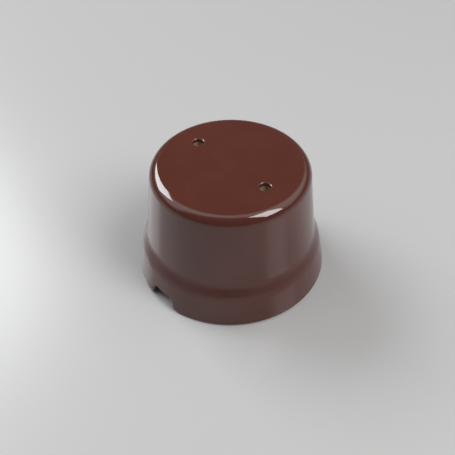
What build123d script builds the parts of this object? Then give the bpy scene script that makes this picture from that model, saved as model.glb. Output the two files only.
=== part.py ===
"""Surface-mounted porcelain junction box: a glazed porcelain cap over a porcelain base with brass terminals.

Row frame: millimetres, +Z away from the wall, origin at the centre of the foot.
The two cover holes lie along X, and the two cable notches face -Y (front) and +Y (back).
"""

import math
import os

from build123d import *

# ---------------------------------------------------------------- driving dimensions
FOOT_R = 34.2  # outer radius of the cover where it meets the wall
SKIRT_TOP_R = 32.15  # outer radius at the top corner of the skirt
SKIRT_TOP_Z = 11.1
BODY_FOOT_R = 30.0  # outer radius where the body rises out of the skirt
BODY_FOOT_Z = 15.8
BODY_TOP_R = 27.1  # outer radius of the body, at the sharp corner under the shoulder radius
SHOULDER_Z = 43.6  # height of the rim of the top face
CROWN_Z = 44.0  # height of the top face at its centre
WALL = 3.8  # porcelain wall thickness
CEILING_Z = 39.6  # underside of the cover's top

COVER_HOLE_X = 16.2  # each cover hole from the centre
COVER_HOLE_R = 1.8
COVER_HOLE_RIM = 0.5  # rounding of the glazed rim
BOSS_R = 4.5
BOSS_Z = 34.8  # underside of the bosses round the cover holes

NOTCH_HALF_WIDTH = 4.6
NOTCH_HEIGHT = 4.6
NOTCH_CORNER_R = 1.5
NOTCH_FLARE_R = 3.0  # rounding of the two lower corners
NOTCH_FLARE_Z = 2.95  # height of the centres of those roundings
NOTCH_LIP_R = 0.6

LEDGE_Z = 7.6  # underside of the ledge that sits over the base flange
BASE_R = 29.6
BASE_FLANGE_Z = 7.0
PLINTH_R = 25.2
PLINTH_Z = 9.0
FOOT_RELIEF = 0.6  # depth of the relief inside the ground foot ring
FOOT_RELIEF_R = 24.6
CABLE_SLOT_HALF_WIDTH = 5.5
CABLE_SLOT_INNER_Y = 16.0
WALL_HOLE_R = 2.25
WALL_HOLE_CIRCLE_R = 20.2
WALL_HOLE_SINK_R = 4.1

POLE_PITCH = 8.0
BAR_WIDTH = 5.4
BAR_LENGTH = 22.0
BAR_HEIGHT = 8.2
CAGE_WIDTH = 3.6
CAGE_HEIGHT = 4.6
CAGE_DEPTH = 7.5
CAGE_FLOOR = 1.2
RIB_CLEARANCE = 0.2
RIB_Z = 18.2
RIB_LENGTH = 25.0
OUTER_RIB_WIDTH = 1.9
OUTER_RIB_LENGTH = 18.0
RIB_EDGE_R = 0.5

M3_R = 1.5
M3_PITCH = 0.5
M3_ROOT_R = 1.23
M3_TAP_R = 1.25
THREAD_CLEARANCE = 0.05
FIXING_HOLE_R = 1.6

CLAMP_SCREW_Y = 7.25
CLAMP_HEAD_R = 2.5
CLAMP_HEAD_H = 2.0
SLOT_WIDTH = 0.8
SLOT_DEPTH = 1.0
HEAD_GAP = 0.3  # under the head of a clamp screw that is run right down
PLATE_GAP = 0.1  # under its clamp plate
PLATE_X = 3.3
PLATE_Y = 5.6
PLATE_T = 0.8
TIP_R = 0.7
TIP_CLEARANCE = 0.05
TIP_RIVET_R = 1.05  # peened end of the tip, which keeps the plate on the screw
TIP_RIVET_T = 0.25
PLATE_SINK_R = 1.2  # recess in the underside of the plate for the peened end
PLATE_SINK_T = 0.4

PILLAR_FLATS = 6.0
PILLAR_LENGTH = 25.0
PILLAR_CHAMFER_Z = 0.3
PILLAR_TOP_HOLE = 12.0
PILLAR_FOOT_HOLE = 8.0

COUNTERBORE_R = 3.2
COUNTERBORE_Z = 3.6
FIXING_HEAD_R = 2.75
FIXING_HEAD_H = 1.8
WASHER_R = 2.7
WASHER_T = 0.7
WASHER_SPLIT = 0.7

POLES = {"left": -POLE_PITCH, "middle": 0.0, "right": POLE_PITCH}
ENDS = {"front": -CLAMP_SCREW_Y, "back": CLAMP_SCREW_Y}
BAR_TOP_Z = PLINTH_Z + BAR_HEIGHT
CAGE_FLOOR_Z = PLINTH_Z + CAGE_FLOOR
PLATE_Z = CAGE_FLOOR_Z + PLATE_GAP
CLAMP_SCREW_Z = BAR_TOP_Z + HEAD_GAP


def save(part, name):
    """Labels a finished piece and writes it to its own STEP file."""
    part.part.label = name
    export_step(part.part, f"parts/{name}.step")


def thread(r_major, r_root, z_low, z_high, pitch):
    """Half outline of a threaded shank from its lower end to its upper end, as (r, z) points."""
    points = [(0, z_low), (r_root, z_low)]
    turns = int((z_high - z_low) / pitch + 1e-6)
    for i in range(turns):
        z = z_low + i * pitch
        points.append((r_major, z + 0.45 * pitch))
        points.append((r_major, z + 0.55 * pitch))
        points.append((r_root, z + pitch))
    points.append((r_root, z_high))
    return points


def turned_section(x, y, outline):
    """Closed (r, z) outline as a face that stands on the vertical line through (x, y)."""
    plane = Plane(origin=(x, y, 0), x_dir=(1, 0, 0), z_dir=(0, -1, 0))
    with BuildSketch(plane) as section:
        with BuildLine():
            Polyline(*outline, close=True)
        make_face()
    return section.sketch


def upright(x, y):
    """The vertical line through (x, y)."""
    return Axis((x, y, 0), (0, 0, 1))


# ---------------------------------------------------------------- cover
def cover_outline():
    """Half section of the cover's outer form as a filleted face."""
    with BuildSketch(Plane.XZ) as outer:
        with BuildLine():
            Line((0, 0), (FOOT_R, 0))
            Line((FOOT_R, 0), (SKIRT_TOP_R, SKIRT_TOP_Z))
            Line((SKIRT_TOP_R, SKIRT_TOP_Z), (BODY_FOOT_R, BODY_FOOT_Z))
            Line((BODY_FOOT_R, BODY_FOOT_Z), (BODY_TOP_R, SHOULDER_Z))
            TangentArc((0, CROWN_Z), (BODY_TOP_R, SHOULDER_Z), tangent=(1, 0))
            Line((0, CROWN_Z), (0, 0))
        make_face()
        rounding = {
            (FOOT_R, 0): 0.9,
            (SKIRT_TOP_R, SKIRT_TOP_Z): 3.4,
            (BODY_FOOT_R, BODY_FOOT_Z): 2.4,
            (BODY_TOP_R, SHOULDER_Z): 4.0,
        }
        for (r, z), radius in rounding.items():
            corner = outer.vertices().sort_by_distance((r, z))[0]
            fillet(corner, radius)
    return outer


def cover_hollow():
    """Half section of the space inside the cover."""
    with BuildSketch(Plane.XZ) as inner:
        with BuildLine():
            Polyline(
                (0, -1),
                (FOOT_R - WALL, -1),
                (FOOT_R - WALL - 0.2, LEDGE_Z),
                (BODY_FOOT_R - WALL + 0.4, LEDGE_Z),
                (BODY_TOP_R - WALL + 0.5, CEILING_Z),
                (0, CEILING_Z),
                close=True,
            )
        make_face()
        for r, z, radius in (
            (FOOT_R - WALL - 0.2, LEDGE_Z, 0.8),
            (BODY_FOOT_R - WALL + 0.4, LEDGE_Z, 0.8),
            (BODY_TOP_R - WALL + 0.5, CEILING_Z, 2.5),
        ):
            corner = inner.vertices().sort_by_distance((r, z))[0]
            fillet(corner, radius)
    return inner


with BuildSketch(Plane.XZ) as notch_shape:
    with Locations((0, NOTCH_HEIGHT / 2)):
        Rectangle(2 * NOTCH_HALF_WIDTH, NOTCH_HEIGHT)
    fillet(notch_shape.vertices().group_by(Axis.Y)[-1], NOTCH_CORNER_R)
    with Locations((0, NOTCH_FLARE_Z / 2)):
        Rectangle(2 * (NOTCH_HALF_WIDTH + NOTCH_FLARE_R), NOTCH_FLARE_Z)
    flare_x = NOTCH_HALF_WIDTH + NOTCH_FLARE_R
    with Locations((-flare_x, NOTCH_FLARE_Z), (flare_x, NOTCH_FLARE_Z)):
        Circle(NOTCH_FLARE_R, mode=Mode.SUBTRACT)

outer_face = cover_outline()
hollow_face = cover_hollow()

with BuildPart() as cover:
    revolve(outer_face.sketch, axis=Axis.Z)
    revolve(hollow_face.sketch, axis=Axis.Z, mode=Mode.SUBTRACT)
    with BuildSketch(Plane.XY.offset(BOSS_Z)):
        with Locations((-COVER_HOLE_X, 0), (COVER_HOLE_X, 0)):
            Circle(BOSS_R)
    extrude(amount=CEILING_Z - BOSS_Z + 1.0)
    with BuildSketch(Plane.XY.offset(BOSS_Z - 1.0)):
        with Locations((-COVER_HOLE_X, 0), (COVER_HOLE_X, 0)):
            Circle(COVER_HOLE_R)
    extrude(amount=CROWN_Z - BOSS_Z + 2.0, mode=Mode.SUBTRACT)
    hole_rims = [
        edge
        for edge in cover.edges().filter_by(GeomType.CIRCLE, reverse=True)
        if edge.center().Z > CEILING_Z + 1.0 and abs(edge.center().Y) < COVER_HOLE_R
    ]
    fillet(hole_rims, COVER_HOLE_RIM)
    extrude(notch_shape.sketch, amount=FOOT_R + 1.0, both=True, mode=Mode.SUBTRACT)
    notch_lips = [
        edge
        for edge in cover.edges()
        if abs(edge.center().Y) > FOOT_R - 2.2
        and 0.05 < edge.center().Z < NOTCH_HEIGHT + 0.3
        and abs(edge.center().X) < NOTCH_HALF_WIDTH + NOTCH_FLARE_R
    ]
    fillet(notch_lips, NOTCH_LIP_R)
save(cover, "cover")


# ---------------------------------------------------------------- base
WALL_HOLE_XY = WALL_HOLE_CIRCLE_R * math.sqrt(0.5)
WALL_HOLES = [(WALL_HOLE_XY, -WALL_HOLE_XY), (-WALL_HOLE_XY, WALL_HOLE_XY)]
INNER_RIB_WIDTH = POLE_PITCH - BAR_WIDTH - 2 * RIB_CLEARANCE
OUTER_RIB_X = POLE_PITCH + BAR_WIDTH / 2 + RIB_CLEARANCE + OUTER_RIB_WIDTH / 2

with BuildPart() as base:
    with BuildSketch(Plane.XZ) as base_section:
        with BuildLine():
            Polyline(
                (0, 0),
                (BASE_R, 0),
                (BASE_R, BASE_FLANGE_Z),
                (PLINTH_R, BASE_FLANGE_Z),
                (PLINTH_R, PLINTH_Z),
                (0, PLINTH_Z),
                close=True,
            )
        make_face()
        for r, z, radius in (
            (BASE_R, 0, 0.5),
            (BASE_R, BASE_FLANGE_Z, 1.2),
            (PLINTH_R, BASE_FLANGE_Z, 0.8),
            (PLINTH_R, PLINTH_Z, 1.0),
        ):
            fillet(base_section.vertices().sort_by_distance((r, z))[0], radius)
    revolve(axis=Axis.Z)
    with BuildSketch(Plane.XY.offset(PLINTH_Z)):
        with Locations((-POLE_PITCH / 2, 0), (POLE_PITCH / 2, 0)):
            RectangleRounded(INNER_RIB_WIDTH, RIB_LENGTH, INNER_RIB_WIDTH * 0.45)
        with Locations((-OUTER_RIB_X, 0), (OUTER_RIB_X, 0)):
            RectangleRounded(OUTER_RIB_WIDTH, OUTER_RIB_LENGTH, OUTER_RIB_WIDTH * 0.45)
    extrude(amount=RIB_Z - PLINTH_Z)
    fillet(base.edges().group_by(Axis.Z)[-1], RIB_EDGE_R)
    with BuildSketch(Plane.XY):
        with Locations((0, -BASE_R), (0, BASE_R)):
            SlotOverall(
                2 * (BASE_R - CABLE_SLOT_INNER_Y),
                2 * CABLE_SLOT_HALF_WIDTH,
                rotation=90,
            )
    extrude(amount=PLINTH_Z, mode=Mode.SUBTRACT)
    with BuildSketch(Plane.XY):
        Circle(FOOT_RELIEF_R)
        with Locations((0, -BASE_R), (0, BASE_R)):
            SlotOverall(
                2 * (BASE_R - CABLE_SLOT_INNER_Y) + 5.0,
                2 * CABLE_SLOT_HALF_WIDTH + 5.0,
                rotation=90,
                mode=Mode.SUBTRACT,
            )
    extrude(amount=FOOT_RELIEF, mode=Mode.SUBTRACT)
    with Locations(*[(x, y, PLINTH_Z) for x, y in WALL_HOLES]):
        CounterSinkHole(WALL_HOLE_R, WALL_HOLE_SINK_R, depth=PLINTH_Z)
    fixings = [(x, 0) for x in POLES.values()] + [(-COVER_HOLE_X, 0), (COVER_HOLE_X, 0)]
    with BuildSketch(Plane.XY):
        with Locations(*fixings):
            Circle(FIXING_HOLE_R)
    extrude(amount=PLINTH_Z, mode=Mode.SUBTRACT)
    with BuildSketch(Plane.XY):
        with Locations(*fixings):
            Circle(COUNTERBORE_R)
    extrude(amount=COUNTERBORE_Z, mode=Mode.SUBTRACT)
save(base, "base")


# ---------------------------------------------------------------- brass pillars that take the cover screws
def pillar_envelope():
    """Half outline of the turned blank that gives a pillar its chamfered ends."""
    end_r = PILLAR_FLATS / 2 + 0.05
    full_r = PILLAR_FLATS / 2 + 0.5
    top = PLINTH_Z + PILLAR_LENGTH
    return [
        (0, PLINTH_Z),
        (end_r, PLINTH_Z),
        (full_r, PLINTH_Z + PILLAR_CHAMFER_Z),
        (full_r, top - PILLAR_CHAMFER_Z),
        (end_r, top),
        (0, top),
    ]


for name, x in (("pillar_left", -COVER_HOLE_X), ("pillar_right", COVER_HOLE_X)):
    with BuildPart() as pillar:
        with BuildSketch(Plane((x, 0, PLINTH_Z))):
            RegularPolygon(PILLAR_FLATS / 2, 6, major_radius=False, rotation=30)
        extrude(amount=PILLAR_LENGTH)
        revolve(turned_section(x, 0, pillar_envelope()), axis=upright(x, 0), mode=Mode.INTERSECT)
        with Locations((x, 0, PLINTH_Z + PILLAR_LENGTH)):
            Hole(M3_TAP_R, depth=PILLAR_TOP_HOLE)
        with BuildSketch(Plane((x, 0, PLINTH_Z))):
            Circle(M3_R + THREAD_CLEARANCE)
        extrude(amount=PILLAR_FOOT_HOLE, mode=Mode.SUBTRACT)
    save(pillar, name)


# ---------------------------------------------------------------- terminals
def bar_body(x):
    """A brass terminal bar with a wire cage at each end."""
    with BuildPart() as bar:
        with BuildSketch(Plane((x, 0, PLINTH_Z))):
            Rectangle(BAR_WIDTH, BAR_LENGTH)
        extrude(amount=BAR_HEIGHT)
        fillet(bar.edges().filter_by(Axis.Z), 0.5)
        chamfer(bar.edges().group_by(Axis.Z)[-1], 0.35)
        for sign in (-1, 1):
            with BuildSketch(Plane.XZ.offset(-sign * BAR_LENGTH / 2)) as window:
                with Locations((x, CAGE_FLOOR_Z + CAGE_HEIGHT / 2)):
                    RectangleRounded(CAGE_WIDTH, CAGE_HEIGHT, 0.4)
            extrude(amount=sign * CAGE_DEPTH, mode=Mode.SUBTRACT)
            with BuildSketch(Plane((x, sign * CLAMP_SCREW_Y, CAGE_FLOOR_Z + CAGE_HEIGHT - 0.5))):
                Circle(M3_R + THREAD_CLEARANCE)
            extrude(amount=BAR_HEIGHT, mode=Mode.SUBTRACT)
        with BuildSketch(Plane((x, 0, PLINTH_Z))):
            Circle(M3_R + THREAD_CLEARANCE)
        extrude(amount=5.0, mode=Mode.SUBTRACT)
    return bar


def clamp_plate(x, y):
    """The captive plate that presses on the wire under a clamp screw."""
    with BuildPart() as plate:
        with BuildSketch(Plane((x, y, PLATE_Z))):
            RectangleRounded(PLATE_X, PLATE_Y, 0.5)
            Circle(TIP_R + TIP_CLEARANCE, mode=Mode.SUBTRACT)
        extrude(amount=PLATE_T)
        with BuildSketch(Plane((x, y, PLATE_Z))):
            Circle(PLATE_SINK_R)
        extrude(amount=PLATE_SINK_T, mode=Mode.SUBTRACT)
    return plate


def screw_outline(tip_z, plate_top_z, head_z):
    """Half outline of a clamp screw, from its tip to the top of its head."""
    rivet_top_z = tip_z + TIP_RIVET_T
    points = [(0, tip_z), (TIP_RIVET_R, tip_z), (TIP_RIVET_R, rivet_top_z)]
    points += [(TIP_R, rivet_top_z), (TIP_R, plate_top_z)]
    points += thread(M3_R, M3_ROOT_R, plate_top_z, head_z, M3_PITCH)[1:]
    points += [
        (CLAMP_HEAD_R - 0.15, head_z),
        (CLAMP_HEAD_R, head_z + 0.15),
        (CLAMP_HEAD_R, head_z + CLAMP_HEAD_H - 0.3),
        (CLAMP_HEAD_R - 0.3, head_z + CLAMP_HEAD_H),
        (0, head_z + CLAMP_HEAD_H),
    ]
    return points


def clamp_screw(x, y):
    """A slotted cheese-head clamp screw, run right down."""
    plate_top = PLATE_Z + PLATE_T + TIP_CLEARANCE
    section = turned_section(x, y, screw_outline(PLATE_Z + TIP_CLEARANCE, plate_top, CLAMP_SCREW_Z))
    with BuildPart() as screw:
        revolve(section, axis=upright(x, y))
        with BuildSketch(Plane((x, y, CLAMP_SCREW_Z + CLAMP_HEAD_H - SLOT_DEPTH))):
            Rectangle(SLOT_WIDTH, 2 * CLAMP_HEAD_R + 1, rotation=35)
        extrude(amount=SLOT_DEPTH + 1, mode=Mode.SUBTRACT)
    return screw


for pole, x in POLES.items():
    save(bar_body(x), f"terminal_{pole}")
    for end, y in ENDS.items():
        save(clamp_plate(x, y), f"clamp_plate_{pole}_{end}")
        save(clamp_screw(x, y), f"clamp_screw_{pole}_{end}")


# ---------------------------------------------------------------- fixings under the base
def fixing_outline(reach):
    """Half outline of a slotted cheese-head screw standing on its head under the base."""
    head_top = COUNTERBORE_Z - WASHER_T
    head_low = head_top - FIXING_HEAD_H
    points = [(0, head_low), (FIXING_HEAD_R - 0.3, head_low), (FIXING_HEAD_R, head_low + 0.3)]
    points += [(FIXING_HEAD_R, head_top - 0.1), (FIXING_HEAD_R - 0.1, head_top)]
    points += thread(M3_R, M3_ROOT_R, head_top, reach, M3_PITCH)[1:]
    return points + [(0, reach)]


def fixing_screws(places, reach, turns):
    """Fixing screws at the given X places, as one group of separate solids."""
    head_low = COUNTERBORE_Z - WASHER_T - FIXING_HEAD_H
    with BuildPart() as screws:
        for x, turn in zip(places, turns):
            revolve(turned_section(x, 0, fixing_outline(reach)), axis=upright(x, 0))
            with BuildSketch(Plane((x, 0, head_low))):
                Rectangle(SLOT_WIDTH, 2 * FIXING_HEAD_R + 1, rotation=turn)
            extrude(amount=SLOT_DEPTH, mode=Mode.SUBTRACT)
    return screws


def spring_washers(places):
    """Split spring washers at the given X places, as one group of separate solids."""
    with BuildPart() as washers:
        for x in places:
            with BuildSketch(Plane((x, 0, COUNTERBORE_Z - WASHER_T))):
                Circle(WASHER_R)
                Circle(M3_R + 0.15, mode=Mode.SUBTRACT)
                with Locations((WASHER_R, 0)):
                    Rectangle(2 * WASHER_R, WASHER_SPLIT, rotation=18, mode=Mode.SUBTRACT)
            extrude(amount=WASHER_T)
    return washers


PILLAR_XS = [-COVER_HOLE_X, COVER_HOLE_X]
save(fixing_screws(PILLAR_XS, PLINTH_Z + 6.0, (20, 75)), "pillar_screws")
save(spring_washers(PILLAR_XS), "pillar_washers")
save(fixing_screws(list(POLES.values()), PLINTH_Z + 4.0, (50, -15, 100)), "terminal_screws")
save(spring_washers(list(POLES.values())), "terminal_washers")
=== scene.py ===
"""Looks of a porcelain junction box: glazed cover, glazed base and brass terminals."""

from __future__ import annotations

import logging
import math
from dataclasses import dataclass
from enum import Enum
from typing import Iterable, Sequence, Union

import bpy
from mathutils import Matrix, Vector

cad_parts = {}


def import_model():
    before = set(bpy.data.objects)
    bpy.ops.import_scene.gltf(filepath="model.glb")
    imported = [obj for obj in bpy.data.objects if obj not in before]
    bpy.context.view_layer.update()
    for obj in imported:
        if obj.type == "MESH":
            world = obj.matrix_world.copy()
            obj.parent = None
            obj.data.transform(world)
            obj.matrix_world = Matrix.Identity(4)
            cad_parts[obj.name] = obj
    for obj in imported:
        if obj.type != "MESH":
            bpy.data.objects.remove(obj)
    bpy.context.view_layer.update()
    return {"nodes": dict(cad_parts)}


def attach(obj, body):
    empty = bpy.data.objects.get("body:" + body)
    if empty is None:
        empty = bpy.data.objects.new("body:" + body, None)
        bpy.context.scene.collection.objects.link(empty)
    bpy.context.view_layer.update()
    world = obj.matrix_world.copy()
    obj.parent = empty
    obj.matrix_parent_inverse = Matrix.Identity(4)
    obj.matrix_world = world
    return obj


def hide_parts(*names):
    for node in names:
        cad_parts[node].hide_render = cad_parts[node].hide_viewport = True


log = logging.getLogger("junction_box")

MM = 0.001
WELD = 0.002 * MM  # points closer than this are one point
Point2 = tuple[float, float]


# ---------------------------------------------------------------- shader maths
class Value:
    """A shader socket that Python expressions can be written with."""

    def __init__(self, net: "Net", socket: bpy.types.NodeSocket) -> None:
        """Keeps the net that the socket belongs to.

        Args:
            net: The material's node net.
            socket: The output that carries the value.
        """
        self.net = net
        self.socket = socket

    def _math(self, operation: str, *others: "Number", flipped: bool = False) -> "Value":
        """Adds one Math node.

        Args:
            operation: The Math node's operation.
            others: The further operands.
            flipped: Whether the first of the others comes before this value.

        Returns:
            The node's result.
        """
        operands = [self, *others]
        if flipped:
            operands[0], operands[1] = operands[1], operands[0]
        inputs = {i: v.socket if isinstance(v, Value) else v for i, v in enumerate(operands)}
        node = self.net.node("ShaderNodeMath", {"operation": operation}, inputs)
        return Value(self.net, node.outputs[0])

    def __add__(self, other: "Number") -> "Value":
        """Sum."""
        return self._math("ADD", other)

    def __radd__(self, other: "Number") -> "Value":
        """Sum, reflected."""
        return self._math("ADD", other)

    def __sub__(self, other: "Number") -> "Value":
        """Difference."""
        return self._math("SUBTRACT", other)

    def __rsub__(self, other: "Number") -> "Value":
        """Difference, reflected."""
        return self._math("SUBTRACT", other, flipped=True)

    def __mul__(self, other: "Number") -> "Value":
        """Product."""
        return self._math("MULTIPLY", other)

    def __truediv__(self, other: "Number") -> "Value":
        """Quotient."""
        return self._math("DIVIDE", other)

    def __abs__(self) -> "Value":
        """Size without the sign."""
        return self._math("ABSOLUTE")

    def root(self) -> "Value":
        """Square root."""
        return self._math("SQRT")

    def above(self, level: "Number") -> "Value":
        """One where this value is over the level, and nought elsewhere."""
        return self._math("GREATER_THAN", level)

    def larger(self, other: "Number") -> "Value":
        """The larger of two values."""
        return self._math("MAXIMUM", other)

    def rise(self, low: float, high: float) -> "Value":
        """A smooth step.

        Args:
            low: Where the step starts, at nought.
            high: Where it ends, at one. Below low, the step falls instead.

        Returns:
            The step's height, from nought to one.
        """
        if high < low:
            return 1 - self.rise(high, low)
        node = self.net.node(
            "ShaderNodeMapRange",
            {"interpolation_type": "SMOOTHSTEP", "clamp": True},
            {"Value": self.socket, "From Min": low, "From Max": high},
        )
        return Value(self.net, node.outputs["Result"])


Number = Union[Value, float]
Colour = tuple[float, float, float]


class Net:
    """The node net of one material or world."""

    def __init__(self, tree: bpy.types.NodeTree) -> None:
        """Starts from an empty net.

        Args:
            tree: The node tree to fill.
        """
        self.tree = tree
        tree.nodes.clear()

    def node(
        self, kind: str, settings: dict | None = None, inputs: dict | None = None
    ) -> bpy.types.Node:
        """Adds a node: its settings first, and then the values or links of its sockets.

        Args:
            kind: The node's type.
            settings: Attributes of the node.
            inputs: Socket name or number to a value or an output socket.

        Returns:
            The new node.
        """
        node = self.tree.nodes.new(kind)
        for name, value in (settings or {}).items():
            setattr(node, name, value)
        for name, value in (inputs or {}).items():
            if isinstance(value, Value):
                value = value.socket
            if isinstance(value, bpy.types.NodeSocket):
                self.tree.links.new(value, node.inputs[name])
            else:
                node.inputs[name].default_value = value
        return node

    def place(self) -> bpy.types.NodeSocket:
        """The point being shaded, in the object's own coordinates, in metres."""
        return self.node("ShaderNodeTexCoord").outputs["Object"]

    def axes(self, vector: bpy.types.NodeSocket) -> tuple[Value, Value, Value]:
        """Splits a vector.

        Args:
            vector: The vector's socket.

        Returns:
            Its three parts.
        """
        split = self.node("ShaderNodeSeparateXYZ", None, {0: vector})
        return tuple(Value(self, out) for out in split.outputs)

    def noise(
        self, scale: float, detail: float = 3.0, roughness: float = 0.5, seed: float = 0.0
    ) -> Value:
        """Soft noise on the object's own coordinates.

        Args:
            scale: Waves to the metre.
            detail: Octaves of finer noise.
            roughness: Share of the finer octaves.
            seed: Shifts the pattern.

        Returns:
            The noise, from nought to one.
        """
        place = self.place()
        if seed:
            shifted = {"Vector": place, "Location": (seed, -seed, seed)}
            place = self.node("ShaderNodeMapping", None, shifted).outputs[0]
        settings = {"noise_dimensions": "3D"}
        inputs = {"Vector": place, "Scale": scale, "Detail": detail, "Roughness": roughness}
        return Value(self, self.node("ShaderNodeTexNoise", settings, inputs).outputs[0])

    def mix(self, low: "Tint", high: "Tint", share: Number) -> bpy.types.NodeSocket:
        """Blends two colours.

        Args:
            low: Colour at a share of nought.
            high: Colour at a share of one.
            share: How much of the second one.

        Returns:
            The blended colour's socket.
        """
        node = self.node("ShaderNodeMix", {"data_type": "RGBA", "clamp_factor": True})
        for slot, tint in ((6, low), (7, high)):
            if isinstance(tint, bpy.types.NodeSocket):
                self.tree.links.new(tint, node.inputs[slot])
            else:
                node.inputs[slot].default_value = (*tint, 1.0)
        if isinstance(share, Value):
            self.tree.links.new(share.socket, node.inputs[0])
        else:
            node.inputs[0].default_value = share
        return node.outputs[2]

    def bump(self, height: Value, distance: float, strength: float = 1.0) -> bpy.types.NodeSocket:
        """A bumped normal.

        Args:
            height: The height pattern.
            distance: What one unit of it stands for, in metres.
            strength: Share of the effect.

        Returns:
            The normal's socket.
        """
        inputs = {"Height": height, "Distance": distance, "Strength": strength}
        return self.node("ShaderNodeBump", None, inputs).outputs[0]

    def surface(self, **sockets: object) -> None:
        """Closes the net with one Principled shader.

        Args:
            sockets: Socket names, with underscores for spaces, to values or links.
        """
        inputs = {name.replace("_", " "): value for name, value in sockets.items()}
        shader = self.node("ShaderNodeBsdfPrincipled", None, inputs)
        self.node("ShaderNodeOutputMaterial", None, {"Surface": shader.outputs[0]})


Tint = Union[Colour, bpy.types.NodeSocket]


def new_material(name: str) -> tuple[bpy.types.Material, Net]:
    """Makes an empty node material.

    Args:
        name: The material's name.

    Returns:
        The material and its net.
    """
    material = bpy.data.materials.new(name)
    material.use_nodes = True
    return material, Net(material.node_tree)


# ---------------------------------------------------------------- finishes
@dataclass(frozen=True)
class CoverSkin:
    """Where the cover's glaze stops, as distances in millimetres."""

    hole_x: float = 16.2
    hole_edge: float = 2.15
    hole_glaze_z: float = 42.7
    ceiling_z: float = 41.6
    ledge_z: float = 7.6
    skirt_middle_r: float = 31.4
    body_middle_r: float = 29.2
    body_taper: float = 0.112
    foot_z: float = 0.22
    edge_soft: float = 0.25
    ceiling_fade: float = 0.6
    ledge_fade: float = 0.3
    bore_share: float = 0.5
    bore_fade: float = 0.35
    foot_fade: float = 0.08
    edge_waves: float = 420.0
    edge_drift: float = 0.9
    # painted shade: heights where the darker band in the hollow of the step starts, is full, stays
    # full and ends
    hollow_shade_z: tuple[float, float, float, float] = (11.2, 13.0, 13.6, 15.6)
    hollow_shade_waves: float = 90.0
    hollow_shade_drift: float = 0.8

    def hollow_shade(self, net: Net) -> Number:
        """Painted shade: a darker band in the hollow of the step.

        Args:
            net: The glaze's net.

        Returns:
            One in the middle of the hollow and nought away from it.
        """
        _, _, z = net.axes(net.place())
        z = z / MM + (net.noise(self.hollow_shade_waves, 2.0, seed=6.3) - 0.5) * self.hollow_shade_drift
        start, full, still_full, end = self.hollow_shade_z
        return z.rise(start, full) * z.rise(end, still_full)

    def bare(self, net: Net) -> Value:
        """Share of bare porcelain: inside the cover, in the bores and under the foot.

        Args:
            net: The glaze's net.

        Returns:
            One on bare porcelain and nought under glaze.
        """
        x, y, z = net.axes(net.place())
        x, y, z = x / MM, y / MM, z / MM
        drift = (net.noise(self.edge_waves, 2.0) - 0.5) * self.edge_drift
        r = (x * x + y * y).root()
        body_r = self.body_middle_r - (z - self.ledge_z) * self.body_taper
        soft = (-self.edge_soft, self.edge_soft)
        in_body = (body_r - r + drift).rise(*soft)
        in_body = in_body * z.rise(self.ceiling_z, self.ceiling_z - self.ceiling_fade)
        in_skirt = (self.skirt_middle_r - r + drift).rise(*soft)
        in_skirt = in_skirt * z.rise(self.ledge_z, self.ledge_z - self.ledge_fade)
        off_x = abs(x) - self.hole_x
        from_hole = (off_x * off_x + y * y).root()
        in_bore = from_hole.rise(self.hole_edge + self.edge_soft, self.hole_edge) * self.bore_share
        bore_end = self.hole_glaze_z - self.bore_fade
        in_bore = in_bore * (z + drift * 0.4).rise(self.hole_glaze_z, bore_end)
        under_foot = (z + drift * 0.15).rise(self.foot_z + self.foot_fade, self.foot_z)
        return in_body.larger(in_skirt).larger(in_bore).larger(under_foot)


@dataclass(frozen=True)
class BaseSkin:
    """Where the base's glaze stops, as distances in millimetres."""

    foot_z: float = 0.7
    recess_r: float = 3.5
    recess_z: float = 8.0
    fixing_x: tuple[float, ...] = (0.0, 8.0, 16.2)
    edge_waves: float = 420.0
    edge_drift: float = 0.6
    height_fade: float = 0.3
    recess_fade: float = 0.1

    def hollow_shade(self, net: Net) -> Number:
        """The base gets no painted shade.

        Args:
            net: The glaze's net; not used.

        Returns:
            Nought everywhere.
        """
        return 0.0

    def bare(self, net: Net) -> Value:
        """Share of bare porcelain: the ground foot and the screw recesses.

        Args:
            net: The glaze's net.

        Returns:
            One on bare porcelain and nought under glaze.
        """
        x, y, z = net.axes(net.place())
        x, y, z = x / MM, y / MM, z / MM
        drift = (net.noise(self.edge_waves, 2.0) - 0.5) * self.edge_drift
        bare = (z + drift).rise(self.foot_z + self.height_fade, self.foot_z)
        below = z.rise(self.recess_z, self.recess_z - self.height_fade)
        for place in self.fixing_x:
            off = abs(x) - place
            from_middle = (off * off + y * y).root()
            recess = from_middle.rise(self.recess_r, self.recess_r - self.recess_fade)
            bare = bare.larger(recess * below)
        return bare


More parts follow.
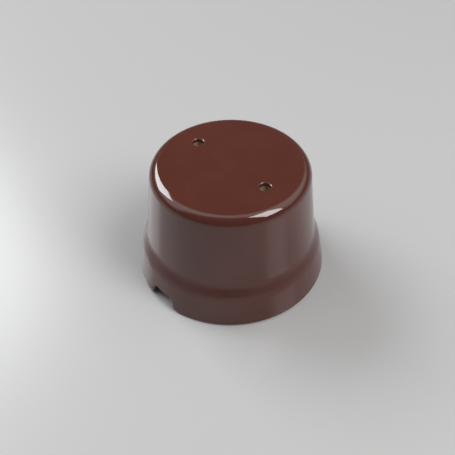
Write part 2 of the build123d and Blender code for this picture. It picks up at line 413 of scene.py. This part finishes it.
@dataclass(frozen=True)
class Glaze:
    """Brown glaze over a buff porcelain body."""

    skin: Union[CoverSkin, BaseSkin]
    deep: Colour = (0.078, 0.0195, 0.0125)
    warm: Colour = (0.092, 0.0235, 0.0150)
    # painted shade: the dark colour laid into the hollow of the step
    hollow_shade_colour: Colour = (0.052, 0.0072, 0.0045)
    thin: Colour = (0.170, 0.0560, 0.0320)
    speck: Colour = (0.42, 0.27, 0.18)
    body: Colour = (0.58, 0.47, 0.36)
    body_dust: Colour = (0.42, 0.32, 0.235)
    # how much of the painted shade colour the hollow of the step gets
    hollow_shade_share: float = 0.62
    thin_share: float = 0.7
    gloss: float = 0.055
    bare_rough: float = 0.62
    relief: float = 0.00009
    ior: float = 1.65
    speck_cells: float = 330.0
    speck_size: float = 0.045
    speck_spread: float = 0.06
    speck_rarity: float = 0.982
    speck_share: float = 0.8

    def material(self, name: str) -> bpy.types.Material:
        """Builds the glaze.

        Args:
            name: The material's name.

        Returns:
            The material.
        """
        material, net = new_material(name)
        bare = self.skin.bare(net)
        cloud = net.noise(75, 3.0, 0.55, seed=0.31)
        grain = net.noise(1400, 3.0, 0.6, seed=0.77)
        glaze = net.mix(self.deep, self.warm, (cloud * 0.8 + grain * 0.2).rise(0.25, 0.75))
        # painted shade: darkens the glaze in the hollow of the step
        glaze = net.mix(glaze, self.hollow_shade_colour, self.skin.hollow_shade(net) * self.hollow_shade_share)
        edge = bare.rise(0.02, 0.45) * self.thin_share
        glaze = net.mix(glaze, self.thin, edge)
        glaze = net.mix(glaze, self.speck, self._specks(net))
        dust = (net.noise(260, 4.0, 0.65, seed=1.3) * 0.6 + grain * 0.4).rise(0.35, 0.7)
        biscuit = net.mix(self.body, self.body_dust, dust)
        wave = net.noise(58, 2.0, 0.45, seed=2.1)
        ripple = net.noise(210, 2.0, 0.5, seed=3.4)
        peel = net.noise(900, 2.0, 0.5, seed=4.9)
        grit = net.noise(5200, 3.0, 0.7, seed=5.5)
        smooth = wave * 0.62 + ripple * 0.07 + peel * 0.006
        height = smooth * (1 - bare) + grit * bare * 0.35
        gloss = self.gloss + cloud * 0.03 + grain * 0.01
        rough = gloss * (1 - bare) + bare * (self.bare_rough + grain * 0.25)
        net.surface(
            Base_Color=net.mix(glaze, biscuit, bare.rise(0.35, 0.65)),
            Roughness=rough,
            Normal=net.bump(height, self.relief),
            Specular_IOR_Level=0.5,
            IOR=self.ior,
        )
        return material

    def _specks(self, net: Net) -> Value:
        """Rare pale specks, where a bubble broke in the kiln.

        Args:
            net: The glaze's net.

        Returns:
            One inside a speck and nought elsewhere.
        """
        inputs = {"Vector": net.place(), "Scale": self.speck_cells}
        cells = net.node("ShaderNodeTexVoronoi", {"feature": "F1"}, inputs)
        distance = Value(net, cells.outputs["Distance"])
        chance, size, _ = net.axes(cells.outputs["Color"])
        spot = (distance / (self.speck_size + size * self.speck_spread)).rise(1.0, 0.55)
        return spot * chance.above(self.speck_rarity) * self.speck_share


class Wear(Enum):
    """How a metal piece was made, as the waves to the metre of its tool marks in x, y and z."""

    TURNED = (500.0, 500.0, 12000.0)
    DRAWN = (9000.0, 9000.0, 400.0)


@dataclass(frozen=True)
class Metal:
    """A bare or plated metal with tarnish and fine tool marks."""

    clean: Colour
    dull: Colour
    roughness: float
    wear: Wear
    relief: float = 0.000012

    def material(self, name: str) -> bpy.types.Material:
        """Builds the metal.

        Args:
            name: The material's name.

        Returns:
            The material.
        """
        material, net = new_material(name)
        tarnish = net.noise(520, 4.0, 0.62, seed=0.9).rise(0.38, 0.72)
        grain = net.noise(2600, 3.0, 0.6, seed=1.7)
        stretched = {"Vector": net.place(), "Scale": self.wear.value}
        lined = net.node("ShaderNodeMapping", None, stretched)
        fine = {"Vector": lined.outputs[0], "Scale": 1.0, "Detail": 2.0}
        marks = net.node("ShaderNodeTexNoise", None, fine)
        lines = Value(net, marks.outputs[0])
        colour = net.mix(self.clean, self.dull, tarnish * 0.65 + grain * 0.15)
        rough = self.roughness + tarnish * 0.16 + (lines - 0.5) * 0.12
        net.surface(
            Base_Color=colour,
            Metallic=1.0,
            Roughness=rough,
            Normal=net.bump(lines * 0.6 + grain * 0.4, self.relief),
        )
        return material


BRASS = Metal((0.80, 0.56, 0.24), (0.46, 0.29, 0.12), 0.26, Wear.TURNED)
BRASS_DRAWN = Metal((0.76, 0.53, 0.23), (0.43, 0.27, 0.11), 0.30, Wear.DRAWN)
ZINC = Metal((0.62, 0.62, 0.60), (0.34, 0.34, 0.33), 0.32, Wear.TURNED)


@dataclass(frozen=True)
class PaperFloor:
    """Pale, slightly glossy paper that the box stands on."""

    shade: Colour = (0.475, 0.475, 0.476)
    darkest: float = 0.985
    roughness: float = 0.27
    gloss: float = 0.55

    def material(self, name: str) -> bpy.types.Material:
        """Builds the paper.

        Args:
            name: The material's name.

        Returns:
            The material.
        """
        material, net = new_material(name)
        soft = net.noise(3.0, 2.0)
        shade = tuple(c * self.darkest for c in self.shade)
        net.surface(
            Base_Color=net.mix(shade, self.shade, soft),
            Roughness=self.roughness,
            Specular_IOR_Level=self.gloss,
        )
        return material


# ---------------------------------------------------------------- the modelling bench
class Bench:
    """Modelling steps that the pieces share."""

    @staticmethod
    def clear() -> None:
        """Leaves edit mode and deselects everything."""
        if bpy.context.object and bpy.context.object.mode != "OBJECT":
            bpy.ops.object.mode_set(mode="OBJECT")
        bpy.ops.object.select_all(action="DESELECT")

    @staticmethod
    def take(obj: bpy.types.Object) -> bpy.types.Object:
        """Selects one object alone and makes it active.

        Args:
            obj: The object to take.

        Returns:
            The same object.
        """
        Bench.clear()
        obj.select_set(True)
        bpy.context.view_layer.objects.active = obj
        return obj

    @staticmethod
    def settle(obj: bpy.types.Object, name: str) -> bpy.types.Object:
        """Puts an object's place and turn into its mesh, and names it.

        Args:
            obj: The object.
            name: Its new name.

        Returns:
            The same object.
        """
        Bench.take(obj)
        bpy.ops.object.transform_apply(location=True, rotation=True, scale=True)
        obj.name = name
        obj.data.name = name
        return obj

    @staticmethod
    def apply(obj: bpy.types.Object, kind: str, **settings: object) -> None:
        """Adds a modifier and applies it.

        Args:
            obj: The object to work on.
            kind: The modifier's type.
            settings: Its settings.
        """
        Bench.take(obj)
        bpy.ops.object.modifier_add(type=kind)
        modifier = obj.modifiers[-1]
        for key, value in settings.items():
            setattr(modifier, key, value)
        bpy.ops.object.modifier_apply(modifier=modifier.name)

    @staticmethod
    def combine(obj: bpy.types.Object, tool: bpy.types.Object, operation: str) -> None:
        """Cuts or joins a second solid and throws it away.

        Args:
            obj: The piece.
            tool: The solid that cuts or joins it.
            operation: DIFFERENCE, UNION or INTERSECT.
        """
        Bench.apply(obj, "BOOLEAN", operation=operation, object=tool, solver="MANIFOLD")
        bpy.data.objects.remove(tool)

    @staticmethod
    def turn(
        outline: Sequence[Point2], steps: int, at: Point2 = (0.0, 0.0), start: float = 37.3
    ) -> bpy.types.Object:
        """Turns an outline about an upright axis.

        Args:
            outline: Points (radius, height) in millimetres, from one end on the axis to the other.
            steps: Steps round the turn.
            at: Where the axis stands, in millimetres.
            start: Where the turn starts, in degrees from +X, clear of any hole or notch.

        Returns:
            The closed solid.
        """
        Bench.clear()
        x0, y0 = at[0] * MM, at[1] * MM
        (r, z), rest = outline[0], outline[1:]
        way_x, way_y = math.cos(math.radians(start)), math.sin(math.radians(start))
        place = (x0 + r * way_x * MM, y0 + r * way_y * MM, z * MM)
        bpy.ops.mesh.primitive_plane_add(size=MM, location=place)
        obj = bpy.context.object
        bpy.ops.object.mode_set(mode="EDIT")
        bpy.ops.mesh.select_all(action="SELECT")
        bpy.ops.mesh.merge(type="CENTER")
        for r_next, z_next in rest:
            out = (r_next - r) * MM
            step = (out * way_x, out * way_y, (z_next - z) * MM)
            bpy.ops.mesh.extrude_vertices_move(TRANSFORM_OT_translate={"value": step})
            r, z = r_next, z_next
        bpy.ops.mesh.select_all(action="SELECT")
        bpy.ops.mesh.spin(steps=steps, angle=math.tau, center=(x0, y0, 0.0), axis=(0.0, 0.0, 1.0))
        bpy.ops.mesh.select_all(action="SELECT")
        bpy.ops.mesh.remove_doubles(threshold=WELD)
        bpy.ops.mesh.normals_make_consistent(inside=False)
        bpy.ops.object.mode_set(mode="OBJECT")
        return Bench.settle(obj, "turned")

    @staticmethod
    def smooth(obj: bpy.types.Object, degrees: float) -> None:
        """Shades smooth, with creases over an angle, and weights the normals by face size.

        Args:
            obj: The piece.
            degrees: The crease angle.
        """
        Bench.take(obj)
        bpy.ops.object.shade_smooth_by_angle(angle=math.radians(degrees), keep_sharp_edges=False)
        Bench.apply(obj, "WEIGHTED_NORMAL", keep_sharp=True, weight=50)


def rounded(corners: Sequence[tuple[float, float, float]], steps: int = 8) -> list[Point2]:
    """Rounds the corners of an outline.

    Args:
        corners: (radius, height, rounding) of each corner, in millimetres.
        steps: Steps in each rounding.

    Returns:
        The outline's points.
    """
    points: list[Point2] = []
    for i, (r, z, radius) in enumerate(corners):
        if radius <= 0 or i in (0, len(corners) - 1):
            points.append((r, z))
            continue
        here = Vector((r, z))
        back = (Vector(corners[i - 1][:2]) - here).normalized()
        ahead = (Vector(corners[i + 1][:2]) - here).normalized()
        half = back.angle(ahead) / 2
        reach = radius / math.tan(half)
        centre = here + (back + ahead).normalized() * (radius / math.sin(half))
        start, end = here + back * reach - centre, here + ahead * reach - centre
        sweep = start.angle_signed(end)
        for k in range(steps + 1):
            turn = Matrix.Rotation(-sweep * k / steps, 2)
            spot = centre + turn @ start
            points.append((spot.x, spot.y))
    return points


# ---------------------------------------------------------------- cover
@dataclass
class GlazedCover:
    """The turned and glazed cover. All sizes are in millimetres."""

    foot_r: float = 34.2
    foot_round: float = 0.9
    foot_lip: float = 0.35
    skirt_top: Point2 = (32.15, 11.1)
    skirt_round: float = 10.0
    body_foot: Point2 = (30.0, 15.8)
    step_round: float = 7.0
    body_top_r: float = 27.1
    shoulder_z: float = 43.6
    shoulder_r: float = 4.0
    crown_z: float = 44.0
    crown_margin: float = 5.0
    wall: float = 3.8
    ceiling_round: float = 2.5
    ceiling_draft: float = 0.5
    body_draft: float = 0.4
    skirt_draft: float = 0.2
    ledge_round: float = 0.8
    ceiling_z: float = 39.6
    ledge_z: float = 7.6
    hole_x: float = 16.2
    hole_r: float = 1.8
    rim_r: float = 0.62
    boss_r: float = 4.5
    boss_z: float = 34.8
    notch_half: float = 4.6
    notch_z: float = 4.6
    notch_corner_r: float = 1.5
    flare_r: float = 3.0
    flare_z: float = 2.95
    lip_r: float = 0.80
    below_foot: float = 1.2
    cut_depth: float = 6.5
    cut_middle: float = 2.6
    steps: int = 288
    hole_steps: int = 56
    boss_steps: int = 48
    arc_steps: int = 8

    def crown(self, r: float) -> float:
        """Height of the top face.

        Args:
            r: Distance from the middle.

        Returns:
            The height there.
        """
        rise = self.crown_z - self.shoulder_z
        ball = (self.body_top_r**2 + rise**2) / (2 * rise)
        return self.crown_z - ball + math.sqrt(ball**2 - r**2)

    def outer(self) -> list[Point2]:
        """Outer outline, from the foot to the middle of the top."""
        flat_r = self.body_top_r - self.crown_margin
        corners = [
            (self.foot_r - self.wall - self.foot_lip, 0.0, 0.0),
            (self.foot_r, 0.0, self.foot_round),
            (*self.skirt_top, self.skirt_round),
            (*self.body_foot, self.step_round),
            (self.body_top_r, self.shoulder_z, self.shoulder_r),
            (flat_r, self.crown(flat_r), 0.0),
        ]
        points = rounded(corners, 14)
        low = points[-1][0]
        return points + [(low * k / 7, self.crown(low * k / 7)) for k in range(6, -1, -1)]

    def inner(self) -> list[Point2]:
        """Inner outline, from the middle of the ceiling to the foot."""
        inner_foot_r = self.foot_r - self.wall
        return rounded(
            [
                (0.0, self.ceiling_z, 0.0),
                (
                    self.body_top_r - self.wall + self.ceiling_draft,
                    self.ceiling_z,
                    self.ceiling_round,
                ),
                (
                    self.body_foot[0] - self.wall + self.body_draft,
                    self.ledge_z,
                    self.ledge_round,
                ),
                (inner_foot_r - self.skirt_draft, self.ledge_z, self.ledge_round),
                (inner_foot_r, self.foot_lip, 0.0),
            ],
            6,
        )

    def skin_r(self, z: float) -> float:
        """Outer radius of the skirt.

        Args:
            z: Height.

        Returns:
            The radius there.
        """
        points = [p for p in self.outer() if p[1] < self.skirt_top[1]]
        z = max(z, 0.0)
        below = [p for p in points if p[1] <= z and p[0] > self.foot_r - 1.5][-1]
        above = [p for p in points if p[1] > z][0]
        share = (z - below[1]) / (above[1] - below[1])
        return below[0] + (above[0] - below[0]) * share

    def notch_outline(self, spread: float) -> list[Point2]:
        """Outline of the notch as seen from outside, with its first point again at the end.

        Args:
            spread: How far the outline is grown into the porcelain.

        Returns:
            Points (x, z) in millimetres, starting and ending below the foot.
        """
        flare_x = self.notch_half + self.flare_r
        low = math.asin(self.flare_z / self.flare_r)
        half: list[Point2] = []
        for k in range(self.arc_steps + 1):
            turn = low * (1 - k / self.arc_steps)
            reach = self.flare_r - spread
            half.append((flare_x - reach * math.cos(turn), self.flare_z - reach * math.sin(turn)))
        top_x, top_z = self.notch_half - self.notch_corner_r, self.notch_z - self.notch_corner_r
        for k in range(self.arc_steps + 1):
            turn = math.pi / 2 * k / self.arc_steps
            reach = self.notch_corner_r + spread
            half.append((top_x + reach * math.cos(turn), top_z + reach * math.sin(turn)))
        half.append((top_x / 2, self.notch_z + spread))
        right = [(half[0][0], -self.below_foot)] + half
        left = [(-x, z) for x, z in reversed(right)]
        return right + [(0.0, self.notch_z + spread)] + left + right[:1]

    def notch_tool(self, side: float) -> bpy.types.Object:
        """The solid that cuts one notch, trumpet-shaped where it meets the outer skin.

        Args:
            side: -1 for the front notch and 1 for the back one.

        Returns:
            The cutting solid.
        """
        stations = [(self.cut_depth, 0.0), (self.cut_middle, 0.0), (self.lip_r, 0.0)]
        for k in range(1, 8):
            turn = math.radians(82) * k / 7
            stations.append((self.lip_r * (1 - math.sin(turn)), self.lip_r * (1 - math.cos(turn))))
        stations.append((-0.05, self.lip_r * 0.94))
        stations.append((-2.5, self.lip_r * 1.6))
        rings = [self.notch_outline(spread) for _, spread in stations]
        Bench.clear()
        around, along = len(rings[0]), len(stations)
        bpy.ops.mesh.primitive_grid_add(
            x_subdivisions=around - 1, y_subdivisions=along - 1, size=2.0
        )
        tool = bpy.context.object
        for vertex in tool.data.vertices:
            i = round((vertex.co.x + 1) / 2 * (around - 1))
            j = round((vertex.co.y + 1) / 2 * (along - 1))
            x, z = rings[j][i]
            depth = stations[j][0]
            y = math.sqrt(self.skin_r(z) ** 2 - x * x) - depth
            vertex.co = Vector((x, y * side, z)) * MM
        bpy.ops.object.mode_set(mode="EDIT")
        bpy.ops.mesh.select_all(action="SELECT")
        bpy.ops.mesh.remove_doubles(threshold=WELD)
        bpy.ops.mesh.fill_holes(sides=0)
        bpy.ops.mesh.select_all(action="SELECT")
        bpy.ops.mesh.normals_make_consistent(inside=False)
        bpy.ops.object.mode_set(mode="OBJECT")
        return Bench.settle(tool, "notch_tool")

    def hole_tool(self, x: float) -> bpy.types.Object:
        """The solid that cuts one screw hole, with its rounded rim.

        Args:
            x: Where the hole is.

        Returns:
            The cutting solid.
        """
        top = self.crown(abs(x))
        low = self.boss_z - 1.0
        outline = [(0.0, low), (self.hole_r, low), (self.hole_r, top - 2.0)]
        for k in range(11):
            turn = math.radians(83) * k / 10
            spread = self.rim_r * (1 - math.cos(turn))
            outline.append((self.hole_r + spread, top - self.rim_r * (1 - math.sin(turn))))
        outline += [(self.hole_r + self.rim_r * 1.1, top + 0.3), (0.0, top + 0.3)]
        return Bench.turn(outline, self.hole_steps, (x, 0.0))

    def boss(self, x: float) -> bpy.types.Object:
        """The boss under one screw hole.

        Args:
            x: Where the hole is.

        Returns:
            The boss, as a solid that runs up into the top.
        """
        corners = [
            (0.0, self.boss_z, 0.0),
            (self.boss_r, self.boss_z, 0.5),
            (self.boss_r, self.ceiling_z - 0.05, 0.0),
            (self.boss_r, self.ceiling_z + 1.5, 0.0),
            (0.0, self.ceiling_z + 1.5, 0.0),
        ]
        return Bench.turn(rounded(corners, 5), self.boss_steps, (x, 0.0))

    def build(self, glaze: bpy.types.Material) -> bpy.types.Object:
        """Models the cover and glazes it.

        Args:
            glaze: The cover's material.

        Returns:
            The finished cover.
        """
        shell = Bench.turn(self.inner() + self.outer(), self.steps)
        for x in (-self.hole_x, self.hole_x):
            Bench.combine(shell, self.boss(x), "UNION")
        for x in (-self.hole_x, self.hole_x):
            Bench.combine(shell, self.hole_tool(x), "DIFFERENCE")
        for side in (-1.0, 1.0):
            Bench.combine(shell, self.notch_tool(side), "DIFFERENCE")
        cover = Bench.settle(shell, "glazed_cover")
        cover.data.materials.clear()
        cover.data.materials.append(glaze)
        Bench.smooth(cover, 32)
        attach(cover, "cover_body")
        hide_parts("cover")
        return cover


# ---------------------------------------------------------------- carried-over pieces
@dataclass
class Terminals:
    """The base and the metal pieces, which keep the shape that the CAD gave them."""

    nodes: dict[str, bpy.types.Object]

    def dress(self, names: Iterable[str], material: bpy.types.Material) -> None:
        """Gives nodes a finish.

        Args:
            names: The nodes' names.
            material: The finish.
        """
        for name in names:
            node = self.nodes[name]
            node.data.materials.clear()
            node.data.materials.append(material)
            log.info("dressed %s with %s", name, material.name)

    def build(self, glaze: bpy.types.Material) -> None:
        """Dresses the base and every metal node.

        Args:
            glaze: The base's glaze.
        """
        brass = BRASS.material("brass_turned")
        drawn = BRASS_DRAWN.material("brass_drawn")
        zinc = ZINC.material("zinc_plated")
        self.dress(["base"], glaze)
        self.dress(["pillar_left", "pillar_right"], drawn)
        self.dress(["terminal_left", "terminal_middle", "terminal_right"], drawn)
        self.dress([n for n in self.nodes if n.startswith("clamp_screw")], brass)
        steel = (
            "clamp_plate",
            "pillar_screws",
            "pillar_washers",
            "terminal_screws",
            "terminal_washers",
        )
        self.dress([n for n in self.nodes if n.startswith(steel)], zinc)


# ---------------------------------------------------------------- studio
def heading(toward: Point2) -> Vector:
    """Direction from the box towards a place in the room.

    Args:
        toward: Azimuth from -Y and elevation, in degrees.

    Returns:
        The direction, of length one.
    """
    azimuth, elevation = (math.radians(a) for a in toward)
    across = math.cos(elevation)
    return Vector((math.sin(azimuth) * across, -math.cos(azimuth) * across, math.sin(elevation)))


@dataclass(frozen=True)
class Panel:
    """One soft light panel, aimed at the box."""

    name: str
    toward: Point2
    distance: float
    size: Point2
    power: float
    colour: Colour
    aim_z: float = 0.025

    def build(self) -> bpy.types.Object:
        """Hangs the panel.

        Returns:
            The light object.
        """
        way = heading(self.toward)
        light = bpy.data.lights.new(self.name, "AREA")
        light.shape = "RECTANGLE"
        light.size, light.size_y = self.size
        light.energy = self.power
        light.color = self.colour
        lamp = bpy.data.objects.new(self.name, light)
        bpy.context.scene.collection.objects.link(lamp)
        lamp.location = way * self.distance + Vector((0.0, 0.0, self.aim_z))
        lamp.rotation_euler = way.to_track_quat("Z", "Y").to_euler()
        return lamp


@dataclass
class Studio:
    """Pale floor, soft light and the camera."""

    azimuth: float = 47.3
    pitch: float = 44.83
    roll: float = -0.975
    distance: float = 0.2608
    aim: Point2 = (-0.00146, 0.00975)
    lens: float = 54.6
    bright: Colour = (1.15, 1.15, 1.15)
    dim: Colour = (0.125, 0.117, 0.114)
    dim_toward: Point2 = (227.0, 45.0)
    dim_corner: Point2 = (0.93, 0.72)
    dim_near: Point2 = (0.40, 0.04)
    dim_low: Point2 = (0.22, 0.55)
    floor_size: float = 6.0
    floor_drop: float = 0.03
    panels: tuple[Panel, ...] = (
        Panel("window_left", (-84.0, 39.0), 1.1, (0.66, 0.46), 8.0, (0.96, 0.98, 1.0)),
        Panel("window_right", (107.0, 49.0), 1.1, (0.44, 0.72), 7.6, (1.0, 0.99, 0.98)),
    )

    def floor(self) -> bpy.types.Object:
        """Lays the floor."""
        Bench.clear()
        bpy.ops.mesh.primitive_plane_add(
            size=self.floor_size, location=(0.0, 0.0, -self.floor_drop * MM)
        )
        sheet = Bench.settle(bpy.context.object, "paper_floor")
        sheet.data.materials.append(PaperFloor().material("pale_paper"))
        return sheet

    def world(self) -> None:
        """Surrounds the box with a pale room, dim low down, in one corner and in front."""
        world = bpy.data.worlds.new("room")
        bpy.context.scene.world = world
        world.use_nodes = True
        net = Net(world.node_tree)
        x, y, z = net.axes(net.node("ShaderNodeTexCoord").outputs["Generated"])
        corner, front = heading(self.dim_toward), heading((self.azimuth, 0.0))
        toward = x * corner.x + y * corner.y + z * corner.z
        before = x * front.x + y * front.y
        lit = z.rise(*self.dim_low) * toward.rise(*self.dim_corner) * before.rise(*self.dim_near)
        shade = net.mix(self.dim, self.bright, lit)
        glow = net.node("ShaderNodeBackground", None, {"Color": shade, "Strength": 1.0})
        net.node("ShaderNodeOutputWorld", None, {"Surface": glow.outputs[0]})

    def camera(self) -> bpy.types.Object:
        """Sets up the camera.

        Returns:
            The camera object.
        """
        turn = Matrix.Rotation(math.radians(self.azimuth), 3, "Z")
        pitch, roll = math.radians(self.pitch), math.radians(self.roll)
        right = Vector((1.0, 0.0, 0.0))
        up = Vector((0.0, math.sin(pitch), math.cos(pitch)))
        back = Vector((0.0, -math.cos(pitch), math.sin(pitch)))
        across = turn @ (right * math.cos(roll) + up * math.sin(roll))
        upward = turn @ (up * math.cos(roll) - right * math.sin(roll))
        back = turn @ back
        place = back * self.distance + across * self.aim[0] + upward * self.aim[1]
        lens = bpy.data.cameras.new("camera")
        lens.lens = self.lens
        lens.sensor_width = 36.0
        lens.clip_start = 0.01
        eye = bpy.data.objects.new("camera", lens)
        bpy.context.scene.collection.objects.link(eye)
        columns = Matrix((across, upward, back)).transposed()
        eye.matrix_world = Matrix.Translation(place) @ columns.to_4x4()
        bpy.context.scene.camera = eye
        return eye

    def build(self) -> None:
        """Sets the stage."""
        bpy.context.scene.view_settings.view_transform = "Standard"
        self.floor()
        self.world()
        for panel in self.panels:
            panel.build()
        self.camera()


def main() -> None:
    """Builds the scene, piece by piece."""
    logging.basicConfig(level=logging.INFO, format="%(name)s: %(message)s")
    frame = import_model()
    Studio().build()
    cover = GlazedCover().build(Glaze(CoverSkin()).material("glaze_cover"))
    log.info("built %s with %d faces", cover.name, len(cover.data.polygons))
    Terminals(frame["nodes"]).build(Glaze(BaseSkin()).material("glaze_base"))


if __name__ == "__main__":
    main()
